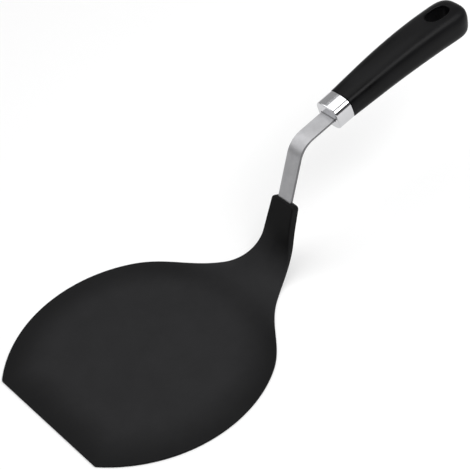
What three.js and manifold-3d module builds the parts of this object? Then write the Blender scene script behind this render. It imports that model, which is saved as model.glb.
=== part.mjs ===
// A crepe spatula: a wide round nylon blade with one straight front edge, a cranked steel
// strip, a polished ferrule and a soft-touch handle with a hanging hole.
// Millimetres, +Z up. The blade lies flat on z = 0, the origin is the centre of its round
// outline, and +X runs along the tool towards the handle.
import * as THREE from "three";
import { mergeVertices } from "three/addons/utils/BufferGeometryUtils.js";
import Module from "manifold-3d";

const wasm = await Module();
wasm.setup();
const { degToRad, lerp, clamp, smoothstep } = THREE.MathUtils;

// Gap between pieces that touch on the real tool, how far a cut runs past the face that it
// opens, and the distance under which two corners count as one.
const gap = 0.3;
const overrun = 2;
const weld = 0.0001;

// Blade, a moulded sheet that thins towards its rim. Its round outline grows flatter beside
// the straight front edge.
const headRadius = 85;
const frontSetback = 70.4;
const frontCornerRadius = 3;
const flankStart = degToRad(116);
const flankRadius = 95;
const bladeThickness = 3.2;
const rimThickness = 1.2;
const rimBevelWidth = 18;
const rimEdgeRadius = 0.3;

// Neck and socket. The outline leaves the circle at the shoulder, the sheet bends up after
// bendStart, and it thickens into a straight socket with a rounded mouth.
const shoulderAngle = degToRad(56);
const shoulderReach = 34.2;
const neckReach = 65;
const bendStart = 86.9;
const bendRadius = 34;
const neckRise = degToRad(64.6);
const thickeningStart = 80;
const squaringStart = 88;
const squaringLength = 48;
const socketLength = 24.9;
const socketThickness = 5.7;
const socketStraightLength = 13.5;
const socketBaseWidth = 21.8;
const socketMouthWidth = 20.4;
const socketCornerRadius = 3.2;
const socketEdgeRadius = 1;
const mouthRearRadius = 1.9;

// Shank, one flat strip of stainless steel that lies a little in front of the socket's
// middle. Its legs are measured along its middle line from the socket's mouth to the corner
// where the legs would meet, and on to the ferrule's face.
const stripRaise = 0.45;
const stripWidth = 12;
const stripThickness = 1.8;
const stripEdgeBevel = 0.2;
const lowerLegLength = 38.4;
const upperLegLength = 26.7;
const shankBendRadius = 15.9;
const handleRise = degToRad(9.47);
const anchorLength = 29;
const anchorHoleRadius = 2.2;
const anchorHoleSpacing = 11;
const anchorHoleFromEnd = 7;
const tangLength = 31;
const tangHoleFromEnd = 9;

// Ferrule, a drawn steel cup whose closed face has a slot for the strip.
const ferruleLength = 12.2;
const ferruleFrontWidth = 19.8;
const ferruleFrontHeight = 16.8;
const ferruleRearWidth = 20;
const ferruleRearHeight = 16.9;
const ferruleWall = 0.6;
const ferruleEdgeRadius = 0.9;
const tangDrop = 0.5;

// Handle, measured along its middle line from the ferrule's face. Its sections are squared
// ovals. It swells from the ferrule to its full section, arches gently down and ends in a
// rounded butt.
const handleLength = 114;
const handleWidth = 27.2;
const handleHeight = 21.2;
const handlePower = 3.2;
const swellLength = 97;
const archStart = 36.7;
const archRadius = 416;
const buttLength = 16.3;
const buttPlanPower = 3.2;
const buttSidePower = 4.5;
const sleeveWall = 1.3;

// Core under the soft sleeve: two hollow halves that close on the tang.
const coreWall = 1.4;
const ribThickness = 1.6;
const ribSpacing = 12;
const ribCount = 2;
const postRadius = 3.2;
const pinRadius = 1.8;
const pinHeight = 4;
const rearPostCount = 2;
const keyWidth = 3;
const keyDepth = 0.7;
const keyFromFront = 8;

// Hanging hole, an oval through sleeve and core.
const holeLength = 17.4;
const holeWidth = 11;
const holeFromButt = 18;
const holePower = 2.5;
const eyeletWall = 1.5;

// Steps of the faceted surfaces.
const cornerSteps = 4;
const flankSteps = 8;
const rimSteps = 22;
const shoulderSteps = 14;
const sideSteps = 2;
const acrossSteps = 14;
const edgeSteps = 3;
const arcSteps = 8;
const ovalSteps = 32;
const innerSteps = 24;
const gripSteps = 9;
const buttSteps = 7;
const holeSteps = 28;
const roundSteps = 16;

// Closed surface through rings of points. Each ring turns clockwise as seen from the last
// one, and the first and last are closed by a fan round their middle or a given tip.
function skin(rings, tip = null) {
  const count = rings[0].length;
  const middle = (ring) =>
    ring.reduce((sum, p) => sum.add(p), new THREE.Vector3()).divideScalar(count);
  const points = [...rings.flat(), middle(rings[0]), tip ?? middle(rings.at(-1))];
  const index = [];
  const at = (i, j) => i * count + (j % count);
  for (let i = 0; i < rings.length - 1; i++)
    for (let j = 0; j < count; j++) {
      index.push(at(i, j), at(i + 1, j), at(i + 1, j + 1));
      index.push(at(i, j), at(i + 1, j + 1), at(i, j + 1));
    }
  const last = rings.length - 1;
  for (let j = 0; j < count; j++) {
    index.push(points.length - 2, at(0, j), at(0, j + 1));
    index.push(points.length - 1, at(last, j + 1), at(last, j));
  }
  return new THREE.BufferGeometry().setFromPoints(points).setIndex(index);
}

// The solid inside a closed geometry.
function solid(geometry) {
  const bare = new THREE.BufferGeometry();
  bare.setAttribute("position", geometry.getAttribute("position"));
  bare.setIndex(geometry.index);
  const merged = mergeVertices(bare, weld);
  return new wasm.Manifold(
    new wasm.Mesh({
      numProp: 3,
      vertProperties: merged.attributes.position.array,
      triVerts: new Uint32Array(merged.index.array),
    }),
  );
}

// A named mesh of a solid, in its own material.
function piece(name, body, colour, roughness, metalness) {
  const { vertProperties, triVerts } = body.getMesh();
  const geometry = new THREE.BufferGeometry();
  geometry.setAttribute("position", new THREE.BufferAttribute(vertProperties, 3));
  geometry.setIndex(new THREE.BufferAttribute(triVerts, 1));
  geometry.computeVertexNormals();
  const material = new THREE.MeshStandardMaterial({ color: colour, roughness, metalness });
  const mesh = new THREE.Mesh(geometry, material);
  mesh.name = name;
  return mesh;
}

// Side view of the tool, as [x, z] directions and points.
const along = (angle) => new THREE.Vector2(Math.cos(angle), Math.sin(angle));
const across = (angle) => new THREE.Vector2(-Math.sin(angle), Math.cos(angle));
const step = (point, direction, length) => point.clone().addScaledVector(direction, length);

// The underside of blade, neck and socket: a point and its slope at a distance from the
// origin, measured along the sheet.
function undersideAt(distance) {
  const turn = clamp((distance - bendStart) / bendRadius, 0, neckRise);
  const past = Math.max(distance - bendStart - bendRadius * neckRise, 0);
  const point = new THREE.Vector2(Math.min(distance, bendStart), 0);
  point.x += bendRadius * Math.sin(turn);
  point.y += bendRadius * (1 - Math.cos(turn));
  return { point: step(point, along(turn), past), turn };
}

const mouthDistance = bendStart + bendRadius * neckRise + socketLength;
const mouth = step(
  undersideAt(mouthDistance).point, across(neckRise), socketThickness / 2 + stripRaise);
const corner = step(mouth, along(neckRise), lowerLegLength);
const ferruleFace = step(corner, along(handleRise), upperLegLength);

// Half of the outline of the blade and neck laid out flat, from the front edge's end to the
// socket's mouth, as points of distance along and half width.
function halfOutline() {
  const flank = along(flankStart).multiplyScalar(headRadius - flankRadius);
  const cornerX = frontCornerRadius - frontSetback;
  const rise = Math.sqrt((flankRadius - frontCornerRadius) ** 2 - (cornerX - flank.x) ** 2);
  const cornerAngle = Math.atan2(rise, cornerX - flank.x);
  const shoulder = along(shoulderAngle).multiplyScalar(headRadius);
  const base = new THREE.Vector2(mouthDistance - socketStraightLength, socketBaseWidth / 2);
  const end = new THREE.Vector2(mouthDistance - socketCornerRadius, socketMouthWidth / 2);
  const side = end.clone().sub(base).normalize();
  const curves = [
    [new THREE.EllipseCurve(cornerX, flank.y + rise, frontCornerRadius, frontCornerRadius,
      Math.PI, cornerAngle, true), cornerSteps],
    [new THREE.EllipseCurve(flank.x, flank.y, flankRadius, flankRadius,
      cornerAngle, flankStart, true), flankSteps],
    [new THREE.EllipseCurve(0, 0, headRadius, headRadius,
      flankStart, shoulderAngle, true), rimSteps],
    [new THREE.CubicBezierCurve(shoulder, step(shoulder, across(shoulderAngle), -shoulderReach),
      step(base, side, -neckReach), base), shoulderSteps],
    [new THREE.LineCurve(base, end), sideSteps],
    [new THREE.EllipseCurve(end.x, end.y - socketCornerRadius, socketCornerRadius,
      socketCornerRadius, Math.PI / 2, 0, true), cornerSteps],
  ];
  return curves.flatMap(([curve, steps], i) => curve.getPoints(steps).slice(i === 0 ? 0 : 1));
}

// How far a point of the laid-out sheet lies inside the outline.
function insetOf(x, y, outline) {
  const point = new THREE.Vector3(x, Math.abs(y), 0);
  const nearest = new THREE.Vector3();
  const line = new THREE.Line3();
  let least = x + frontSetback;
  for (let i = 1; i < outline.length; i++) {
    line.start.set(outline[i - 1].x, outline[i - 1].y, 0);
    line.end.set(outline[i].x, outline[i].y, 0);
    line.closestPointToPoint(point, true, nearest);
    least = Math.min(least, nearest.distanceTo(point));
  }
  return least;
}

// How far the sheet has changed from the blade's thin rim to the socket's square sides.
const squareness = (distance) =>
  smoothstep(distance, squaringStart, squaringStart + squaringLength);

// Thickness of the sheet: full inside, falling to the rim round the blade, and growing to
// the socket's with square sides along the neck.
function sheetThickness(distance, inset) {
  const bendEnd = bendStart + bendRadius * neckRise;
  const growth = clamp((distance - thickeningStart) / (bendEnd - thickeningStart), 0, 1);
  const full = lerp(bladeThickness, socketThickness, growth);
  const rim = lerp(rimThickness, full, squareness(distance));
  const outside = 1 - clamp(inset / rimBevelWidth, 0, 1);
  return lerp(full, rim, outside ** 2);
}

// Blade, neck and socket in one moulding, formed over the end of the strip. Each ring is a
// section across it with rounded edges, drawn in where it rounds over to the mouth, which
// it does more on its rear side.
function bladeBody() {
  const outline = halfOutline();
  const shares = Array.from({ length: acrossSteps + 1 }, (_, i) =>
    Math.sin(((2 * i) / acrossSteps - 1) * (Math.PI / 2)));
  const turns = Array.from({ length: edgeSteps }, (_, i) =>
    ((i + 1) / edgeSteps) * (Math.PI / 2));
  const rings = outline.map(({ x: distance, y: halfWidth }) => {
    const { point, turn } = undersideAt(distance);
    const place = (y, height) => {
      const p = step(point, across(turn), height);
      return new THREE.Vector3(p.x, y, p.y);
    };
    const drawnIn = (rounding) => {
      const near = clamp((distance - mouthDistance) / rounding + 1, 0, 1);
      return rounding * (1 - Math.sqrt(1 - near ** 2));
    };
    const low = drawnIn(mouthRearRadius);
    const heightAt = (y) =>
      sheetThickness(distance, insetOf(distance, y, outline)) - drawnIn(socketEdgeRadius);
    const radius = lerp(rimEdgeRadius, socketEdgeRadius, squareness(distance));
    const flat = halfWidth - radius;
    const top = shares.map((share) => place(share * flat, heightAt(share * flat)));
    const edges = (side) => [
      ...turns.map((angle) => place(side * (flat + radius * Math.sin(angle)),
        heightAt(flat) - radius * (1 - Math.cos(angle)))),
      ...turns.map((angle) => place(side * (flat + radius * Math.cos(angle)),
        low + radius * (1 - Math.sin(angle)))),
    ];
    return [...top, ...edges(1), ...edges(-1).reverse()];
  });
  return solid(skin(rings)).subtract(socketPocket());
}

// A box laid along a leg of the strip: from and to are distances along the leg's middle
// line from a start point.
function legBox(start, angle, from, to, width, thickness) {
  const box = new THREE.BoxGeometry(to - from, width, thickness);
  const middle = step(start, along(angle), (from + to) / 2);
  return box.rotateY(-angle).translate(middle.x, 0, middle.y);
}

// Round bars through the strip's buried end, one for each anchor hole.
function anchorBars(radius, length) {
  const bars = [0, 1].map((i) => {
    const bar = new THREE.CylinderGeometry(radius, radius, length, roundSteps);
    const distance = anchorHoleFromEnd + i * anchorHoleSpacing - anchorLength;
    const place = step(mouth, along(neckRise), distance);
    return solid(bar.rotateX(Math.PI / 2).rotateY(-neckRise).translate(place.x, 0, place.y));
  });
  return bars[0].add(bars[1]);
}

// The hollow that the strip's end fills, with the pegs that the nylon forms in its holes.
function socketPocket() {
  const hollow = legBox(mouth, neckRise, -anchorLength - gap, overrun, stripWidth + 2 * gap,
    stripThickness + 2 * gap);
  return solid(hollow).subtract(anchorBars(anchorHoleRadius - gap, socketThickness));
}

// The strip: its side view pulled across its width, with the anchor holes and the hole in
// its tang for the core's post.
function shankBody() {
  const half = stripThickness / 2;
  const tangent = shankBendRadius * Math.tan((neckRise - handleRise) / 2);
  const lowEnd = step(mouth, along(neckRise), -anchorLength);
  const highEnd = step(ferruleFace, along(handleRise), tangLength);
  const bendFoot = step(corner, along(neckRise), -tangent);
  const centre = step(bendFoot, across(neckRise), -shankBendRadius);
  const low = neckRise + Math.PI / 2;
  const high = handleRise + Math.PI / 2;
  const shape = new THREE.Shape();
  shape.setFromPoints([step(lowEnd, across(neckRise), half), step(bendFoot, across(neckRise), half)]);
  shape.absarc(centre.x, centre.y, shankBendRadius + half, low, high, true);
  shape.lineTo(...step(highEnd, across(handleRise), half));
  shape.lineTo(...step(highEnd, across(handleRise), -half));
  shape.absarc(centre.x, centre.y, shankBendRadius - half, high, low, false);
  shape.lineTo(...step(lowEnd, across(neckRise), -half));
  const flat = stripWidth - 2 * stripEdgeBevel;
  const strip = new THREE.ExtrudeGeometry(shape, {
    depth: flat,
    curveSegments: arcSteps,
    bevelThickness: stripEdgeBevel,
    bevelSize: stripEdgeBevel,
    bevelOffset: -stripEdgeBevel,
    bevelSegments: 1,
  });
  strip.rotateX(Math.PI / 2).translate(0, flat / 2, 0);
  const radius = pinRadius + gap;
  const hole = new THREE.CylinderGeometry(radius, radius, stripThickness + overrun, roundSteps);
  const place = step(highEnd, along(handleRise), -tangHoleFromEnd);
  hole.rotateX(Math.PI / 2).rotateY(-handleRise).translate(place.x, 0, place.y);
  return solid(strip)
    .subtract(anchorBars(anchorHoleRadius, stripThickness + overrun))
    .subtract(solid(hole));
}

// Middle line of the handle in its own frame: straight behind the ferrule, then a long
// arch that turns down.
function handleAxis(distance) {
  const turn = Math.max(distance - archStart, 0) / archRadius;
  const x = Math.min(distance, archStart) + archRadius * Math.sin(turn);
  return { x, z: archRadius * (Math.cos(turn) - 1), turn };
}

// A geometry set on the handle's middle line, upright to it.
function onHandle(geometry, distance, up = 0) {
  const { x, z, turn } = handleAxis(distance);
  return geometry.translate(0, 0, up).rotateY(turn).translate(x, 0, z);
}

// One point of a section across the handle.
function sectionPoint(distance, y, up) {
  const { x, z, turn } = handleAxis(distance);
  return new THREE.Vector3(x + up * Math.sin(turn), y, z + up * Math.cos(turn));
}

// Outline of a squared oval: points of first and second coordinate, evenly turned.
function squaredOval(halfFirst, halfSecond, power, steps) {
  return Array.from({ length: steps }, (_, i) => {
    const { x, y } = along((i / steps) * 2 * Math.PI);
    const reach = (Math.abs(x / halfFirst) ** power + Math.abs(y / halfSecond) ** power)
      ** (-1 / power);
    return new THREE.Vector2(x, y).multiplyScalar(reach);
  });
}

// Rings of ovals across the handle, from a list of distance, half width and half height.
function ovals(sections, steps) {
  return sections.map(([distance, halfWidth, halfHeight]) =>
    squaredOval(halfHeight, halfWidth, handlePower, steps)
      .map(({ x: up, y }) => sectionPoint(distance, y, up)));
}

// Section of the ferrule, drawn in by an inset from its outside.
function ferruleSection(distance, inset) {
  const share = distance / ferruleLength;
  return [
    distance,
    lerp(ferruleFrontWidth, ferruleRearWidth, share) / 2 - inset,
    lerp(ferruleFrontHeight, ferruleRearHeight, share) / 2 - inset,
  ];
}

// Section of the grip, drawn in by an inset from its outside, which shortens it too.
function gripSection(distance, inset) {
  const swell = Math.sin(clamp((distance - ferruleLength) / swellLength, 0, 1) * (Math.PI / 2));
  const tail = clamp((distance + inset - handleLength) / buttLength + 1, 0, 1);
  const plan = (1 - tail ** buttPlanPower) ** (1 / buttPlanPower);
  const side = (1 - tail ** buttSidePower) ** (1 / buttSidePower);
  return [
    distance,
    (lerp(ferruleRearWidth, handleWidth, swell) / 2 - inset) * plan,
    (lerp(ferruleRearHeight, handleHeight, swell) / 2 - inset) * side,
  ];
}

// Sections of the grip from one distance to another, closer together over the butt.
function gripSections(from, to, inset) {
  const buttStart = handleLength - buttLength - inset;
  const places = Array.from({ length: gripSteps }, (_, i) =>
    lerp(ferruleLength, buttStart, i / gripSteps));
  for (let i = 0; i < buttSteps; i++)
    places.push(buttStart + buttLength * Math.sin((i / buttSteps) * (Math.PI / 2)));
  const between = places.filter((place) => place > from + gap && place < to - gap);
  const last = to < handleLength - inset ? [to] : [];
  return [from, ...between, ...last].map((place) => gripSection(place, inset));
}

// The whole grip from a distance back to its butt, drawn in by an inset.
function gripBlank(from, inset, steps) {
  const tip = sectionPoint(handleLength - inset, 0, 0);
  return solid(skin(ovals(gripSections(from, handleLength, inset), steps), tip));
}

// The ring round the grip that keys the sleeve to the core, shortened at each end.
function keyRing(shortening) {
  const from = ferruleLength + keyFromFront + shortening;
  const to = from + keyWidth - 2 * shortening;
  const band = ([start, end], inset) =>
    solid(skin(ovals(gripSections(start, end, inset), innerSteps)));
  return band([from, to], sleeveWall / 2)
    .subtract(band([from - overrun, to + overrun], sleeveWall + keyDepth + gap - shortening));
}

// An oval bar through the handle at the hanging hole, grown by a margin.
function holeBar(margin) {
  const outline = squaredOval(
    holeLength / 2 + margin, holeWidth / 2 + margin, holePower, holeSteps);
  const shape = new THREE.Shape(outline);
  const depth = handleHeight + 2 * overrun;
  const bar = new THREE.ExtrudeGeometry(shape, { depth, bevelEnabled: false });
  return solid(onHandle(bar, handleLength - holeFromButt, -depth / 2));
}

// A box along the tang's middle plane in the handle's frame.
function tangBox(from, to, width, thickness) {
  const box = new THREE.BoxGeometry(to - from, width, thickness);
  return solid(box.translate((from + to) / 2, 0, -tangDrop));
}

// Ferrule: outside with a rounded front edge, hollowed from behind and slotted in front.
function ferruleBody() {
  const rounded = Array.from({ length: cornerSteps }, (_, i) => {
    const angle = (i / cornerSteps) * (Math.PI / 2);
    const back = ferruleEdgeRadius * (1 - Math.cos(angle));
    return ferruleSection(back, ferruleEdgeRadius * (1 - Math.sin(angle)));
  });
  const outside = [...rounded, ferruleSection(ferruleEdgeRadius, 0),
    ferruleSection(ferruleLength, 0)];
  const inside = [ferruleSection(ferruleWall, 2 * ferruleWall),
    ferruleSection(2 * ferruleWall, ferruleWall),
    ferruleSection(ferruleLength + overrun, ferruleWall)];
  const slot = tangBox(-overrun, ferruleWall + overrun, stripWidth + 2 * gap,
    stripThickness + 2 * gap);
  return solid(skin(ovals(outside, ovalSteps)))
    .subtract(solid(skin(ovals(inside, ovalSteps))))
    .subtract(slot);
}

// Sleeve: the soft skin over the core, with a ring inside that keys it in place.
function sleeveBody() {
  const start = ferruleLength + gap;
  return gripBlank(start, 0, ovalSteps)
    .subtract(gripBlank(start - overrun, sleeveWall, innerSteps))
    .add(keyRing(gap))
    .subtract(holeBar(0));
}

// The core's outside or, with an inset, its hollow: a spigot in the ferrule and a body
// under the sleeve.
function coreBlank(inset) {
  const spigotInset = ferruleWall + gap + inset;
  const bodyInset = sleeveWall + gap + inset;
  const spigot = [ferruleSection(spigotInset, spigotInset + ferruleWall),
    ferruleSection(spigotInset + ferruleWall, spigotInset),
    ferruleSection(ferruleLength, spigotInset)];
  const tip = sectionPoint(handleLength - bodyInset, 0, 0);
  const body = gripSections(ferruleLength, handleLength, bodyInset);
  return solid(skin(ovals([...spigot, ...body], innerSteps), tip));
}

// A round bar upright to the middle line, from one height to another.
function post(distance, radius, low, high) {
  const bar = new THREE.CylinderGeometry(radius, radius, high - low, roundSteps);
  return solid(onHandle(bar.rotateX(Math.PI / 2), distance, (low + high) / 2));
}

// Posts that join the halves: one through the tang's hole, and the others evenly between
// it and the hanging hole.
const postPlaces = Array.from({ length: rearPostCount + 1 }, (_, i) =>
  lerp(tangLength - tangHoleFromEnd, handleLength - holeFromButt, i / (rearPostCount + 1)));

// Everything of the handle on one side of the plane where the core's halves meet.
function sideBlock(side) {
  const edge = (side * gap) / 2 - tangDrop;
  const far = edge + side * handleHeight;
  const low = Math.min(edge, far);
  const high = Math.max(edge, far);
  const grip = gripSections(ferruleLength, handleLength, 0).map(([place]) => place);
  const places = [-overrun, ...grip, handleLength + overrun];
  return solid(skin(places.map((place) => [
    sectionPoint(place, -handleWidth, high),
    sectionPoint(place, handleWidth, high),
    sectionPoint(place, handleWidth, low),
    sectionPoint(place, -handleWidth, low),
  ])));
}

// Both halves of the core: a hollow shell with ribs that bed the tang, posts that meet in
// the middle, a wall round the hanging hole and a groove for the sleeve's ring.
function coreHalves() {
  let inside = coreBlank(coreWall).subtract(holeBar(eyeletWall));
  for (let i = 0; i < ribCount; i++) {
    const end = tangLength - i * ribSpacing;
    inside = inside.subtract(tangBox(end - ribThickness, end, handleWidth, handleHeight));
  }
  for (const place of postPlaces)
    inside = inside.subtract(post(place, postRadius, -handleHeight, handleHeight));
  let core = coreBlank(0).subtract(inside).subtract(holeBar(0));
  core = core.subtract(tangBox(0, tangLength + gap, stripWidth + 2 * gap, stripThickness + 2 * gap));
  core = core.subtract(keyRing(0));
  let upper = core.intersect(sideBlock(1));
  let lower = core.intersect(sideBlock(-1));
  for (const place of postPlaces) {
    const root = -tangDrop - stripThickness;
    upper = upper.subtract(post(place, pinRadius + gap, root, pinHeight + gap));
    lower = lower.add(post(place, pinRadius, root - pinHeight, pinHeight));
  }
  return { upper, lower };
}

const spatula = new THREE.Group();
spatula.add(piece("blade", bladeBody(), 0x242425, 0.6, 0));
spatula.add(piece("shank", shankBody(), 0xb4b5b7, 0.35, 1));

const handle = new THREE.Group();
const handleStart = step(ferruleFace, across(handleRise), tangDrop);
handle.position.set(handleStart.x, 0, handleStart.y);
handle.rotation.y = -handleRise;
const { upper, lower } = coreHalves();
handle.add(piece("ferrule", ferruleBody(), 0xd8d9db, 0.12, 1));
handle.add(piece("core_upper", upper, 0x1b1b1c, 0.5, 0));
handle.add(piece("core_lower", lower, 0x1b1b1c, 0.5, 0));
handle.add(piece("grip_sleeve", sleeveBody(), 0x1e1e1f, 0.75, 0));
spatula.add(handle);

export default spatula;
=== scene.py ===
"""Crepe spatula: a round nylon blade on a cranked steel strip, with a polished ferrule and a
soft black handle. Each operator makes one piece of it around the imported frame."""

import math

import bmesh
import bpy
import numpy as np
from bpy.props import FloatProperty, FloatVectorProperty, PointerProperty
from bpy.types import Operator, Panel, PropertyGroup
from mathutils import Matrix, Vector


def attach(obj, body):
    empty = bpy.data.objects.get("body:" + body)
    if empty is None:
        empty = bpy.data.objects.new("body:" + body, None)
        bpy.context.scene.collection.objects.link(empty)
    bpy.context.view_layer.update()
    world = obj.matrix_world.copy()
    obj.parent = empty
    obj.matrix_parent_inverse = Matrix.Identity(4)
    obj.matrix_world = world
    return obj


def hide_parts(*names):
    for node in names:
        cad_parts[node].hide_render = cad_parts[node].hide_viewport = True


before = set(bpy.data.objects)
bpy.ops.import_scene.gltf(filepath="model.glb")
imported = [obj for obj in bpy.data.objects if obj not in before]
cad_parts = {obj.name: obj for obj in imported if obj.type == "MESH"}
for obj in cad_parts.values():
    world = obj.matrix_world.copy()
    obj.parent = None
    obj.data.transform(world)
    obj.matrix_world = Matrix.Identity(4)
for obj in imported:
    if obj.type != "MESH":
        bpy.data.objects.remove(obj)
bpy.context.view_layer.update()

bl_info = {
    "name": "Crepe Spatula",
    "version": (1, 0, 0),
    "blender": (4, 5, 0),
    "location": "View3D > Sidebar > Spatula",
    "description": "Makes a crepe spatula with a nylon blade, a steel strip and a soft handle",
    "category": "Add Mesh",
}

MM = 0.001
SHARP_ANGLE = math.radians(40)
WELD = 0.002 * MM


# Properties


def length(name, description, millimetres):
    return FloatProperty(
        name=name, description=description, default=millimetres * MM, unit="LENGTH"
    )


def number(name, description, value):
    return FloatProperty(name=name, description=description, default=value, min=0.0)


def turn(name, description, degrees):
    return FloatProperty(
        name=name, description=description, default=math.radians(degrees), subtype="ANGLE"
    )


def linear(hex_colour):
    """The linear red, green and blue of an sRGB hex colour."""
    parts = [int(hex_colour[i : i + 2], 16) / 255 for i in (1, 3, 5)]
    return [c / 12.92 if c <= 0.04045 else ((c + 0.055) / 1.055) ** 2.4 for c in parts]


def colour(name, description, hex_colour):
    return FloatVectorProperty(
        name=name,
        description=description,
        default=linear(hex_colour),
        subtype="COLOR",
        min=0.0,
        max=1.0,
    )


class BladeSizes(PropertyGroup):
    radius: length("Radius", "Radius of the round outline", 85)
    setback: length("Front setback", "From the outline's centre to the straight front edge", 70.4)
    corner: length("Corner radius", "Rounding of the front edge's two corners", 3)
    flank: turn("Flank start", "Where the round outline grows flatter towards the front", 116)
    flank_radius: length("Flank radius", "Radius of the outline beside the front edge", 95)
    thickness: length("Thickness", "Thickness of the sheet inside its thinner rim", 3.2)
    rim: length("Rim thickness", "Thickness of the sheet at its edge", 1.2)
    bevel: length("Rim band", "Width of the band that thins towards the edge", 18)
    edge: length("Edge rounding", "Rounding of the rim's edges", 0.35)
    shoulder: turn("Shoulder angle", "Where the outline leaves the circle for the neck", 56)
    shoulder_reach: length("Shoulder reach", "How far the outline keeps to the circle", 34.2)
    neck_reach: length("Neck reach", "How far the outline keeps to the socket's side", 65)


class NeckSizes(PropertyGroup):
    bend_start: length("Bend start", "Where the sheet starts to bend up", 86.9)
    bend: length("Bend radius", "Radius of the bend's underside", 34)
    rise: turn("Rise", "Slope of the socket", 64.6)
    thickening: length("Thickening start", "Where the sheet starts to thicken", 80)
    squaring: length("Squaring start", "Where the sides start to grow square", 88)
    squaring_run: length("Squaring length", "Over how much the sides grow square", 48)
    socket: length("Socket length", "Straight part behind the bend", 24.9)
    thickness: length("Socket thickness", "Thickness at the mouth", 5.7)
    straight: length("Straight side", "Straight part of the outline before the mouth", 13.5)
    base_width: length("Base width", "Width where the straight side starts", 21.8)
    mouth_width: length("Mouth width", "Width at the mouth", 20.4)
    corner: length("Mouth corner radius", "Rounding of the mouth's corners", 3.2)
    edge: length("Edge rounding", "Rounding of the socket's edges", 1)
    rear_edge: length("Rear edge rounding", "Rounding of the mouth's rear edge", 1.9)
    strip_raise: length("Strip raise", "How far the strip lies in front of the middle", 0.45)
    pocket: length("Pocket depth", "Depth of the gap round the strip", 3)
    clearance: length("Clearance", "Gap round the strip in the mouth", 0.3)


class StripSizes(PropertyGroup):
    width: length("Width", "Width of the strip", 12)
    thickness: length("Thickness", "Thickness of the strip", 1.8)
    edge: length("Edge rounding", "Rounding of the strip's edges", 0.25)
    lower: length("Lower leg", "From the socket's mouth to the corner of the crank", 38.4)
    upper: length("Upper leg", "From the corner of the crank to the ferrule", 26.7)
    bend: length("Bend radius", "Radius of the crank along its middle line", 15.9)
    rise: turn("Handle rise", "Slope of the upper leg and the handle", 9.47)
    drop: length("Tang drop", "How far the strip lies under the handle's middle line", 0.5)


class FerruleSizes(PropertyGroup):
    length: length("Length", "Length along the handle", 12.2)
    front_width: length("Front width", "Width of the closed front", 19.8)
    front_height: length("Front height", "Height of the closed front", 16.8)
    rear_width: length("Rear width", "Width at the grip", 20)
    rear_height: length("Rear height", "Height at the grip", 16.9)
    wall: length("Wall", "Thickness of the drawn sheet", 0.6)
    edge: length("Edge rounding", "Rounding of the front edge", 0.9)
    slot: length("Slot clearance", "Gap round the strip in the slot", 0.5)


class GripSizes(PropertyGroup):
    length: length("Length", "From the ferrule's face to the end of the butt", 114)
    width: length("Width", "Width of the full section", 27.2)
    height: length("Height", "Height of the full section", 21.2)
    power: number("Squareness", "Power of the oval sections, 2 for an ellipse", 3.2)
    swell: length("Swell length", "Over how much the grip grows to its full section", 97)
    arch_start: length("Arch start", "Where the handle starts to arch down", 36.7)
    arch: length("Arch radius", "Radius of the handle's arch", 416)
    butt: length("Butt length", "Length of the rounded end", 16.3)
    butt_plan: number("Butt plan", "Power of the rounded end seen from above", 3.2)
    butt_side: number("Butt side", "Power of the rounded end seen from the side", 4.5)
    wall: length("Sleeve wall", "Thickness of the soft sleeve", 1.3)
    gap: length("Gap", "Gap between the ferrule and the sleeve", 0.3)
    front_edge: length("Front edge rounding", "Rounding of the sleeve's front edge", 0.5)
    hole_length: length("Hole length", "Length of the hanging hole", 17.4)
    hole_width: length("Hole width", "Width of the hanging hole", 11)
    hole_place: length("Hole place", "From the end of the butt to the hole's middle", 18)
    hole_power: number("Hole squareness", "Power of the hole's oval", 2.5)
    lip: length("Lip rounding", "Rounding of the hanging hole's edge", 0.9)


class Finishes(PropertyGroup):
    nylon: colour("Nylon", "Blade and neck", "#222223")
    steel: colour("Brushed steel", "Strip", "#A8A8AA")
    polished: colour("Polished steel", "Ferrule", "#C8C8CA")
    rubber: colour("Soft rubber", "Grip", "#0D0D0E")
    core: colour("Core plastic", "Wall inside the hanging hole", "#0B0B0C")


class StageSettings(PropertyGroup):
    floor: colour("Floor", "Colour of the floor", "#C4C4C4")
    half_floor: length("Half floor", "Half the side of the floor", 6000)
    near: length("Near", "How far the lamps light the floor fully", 300)
    far: length("Far", "Where the floor has only the world's light", 1800)
    near_lift: number("Near lift", "How much the floor near the tool is raised where seen", 0.33)
    far_lift: number("Far lift", "How much the floor far from the tool is raised", 0.62)
    horizon: number("Horizon", "Strength of the world along the horizon", 0.8)
    walls: number("Walls", "Strength of the world above the horizon", 0.47)
    ceiling: number("Ceiling", "Strength of the world overhead", 0.42)
    curtain: number("Curtain", "Strength of the dark curtain in front of the tool", 0.1)


class SpatulaSettings(PropertyGroup):
    blade: PointerProperty(type=BladeSizes)
    neck: PointerProperty(type=NeckSizes)
    strip: PointerProperty(type=StripSizes)
    ferrule: PointerProperty(type=FerruleSizes)
    grip: PointerProperty(type=GripSizes)
    finishes: PointerProperty(type=Finishes)
    stage: PointerProperty(type=StageSettings)


# Side view of the tool, and the lines that its pieces follow


def along(angle):
    return Vector((math.cos(angle), 0, math.sin(angle)))


def across(angle):
    return Vector((-math.sin(angle), 0, math.cos(angle)))


def lerp(a, b, share):
    return a + (b - a) * share


def clamp(value):
    return min(max(value, 0.0), 1.0)


def quarter_turn(steps):
    """Angles from none to a right angle."""
    return [i / steps * math.pi / 2 for i in range(steps + 1)]


def eased(share):
    share = clamp(share)
    return share * share * (3 - 2 * share)


def underside_at(neck, distance):
    """A point of the underside of blade and neck, and its slope."""
    angle = min(max((distance - neck.bend_start) / neck.bend, 0.0), neck.rise)
    past = max(distance - neck.bend_start - neck.bend * neck.rise, 0.0)
    point = Vector((min(distance, neck.bend_start), 0, 0))
    point.x += neck.bend * math.sin(angle)
    point.z += neck.bend * (1 - math.cos(angle))
    return point + along(angle) * past, angle


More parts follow.
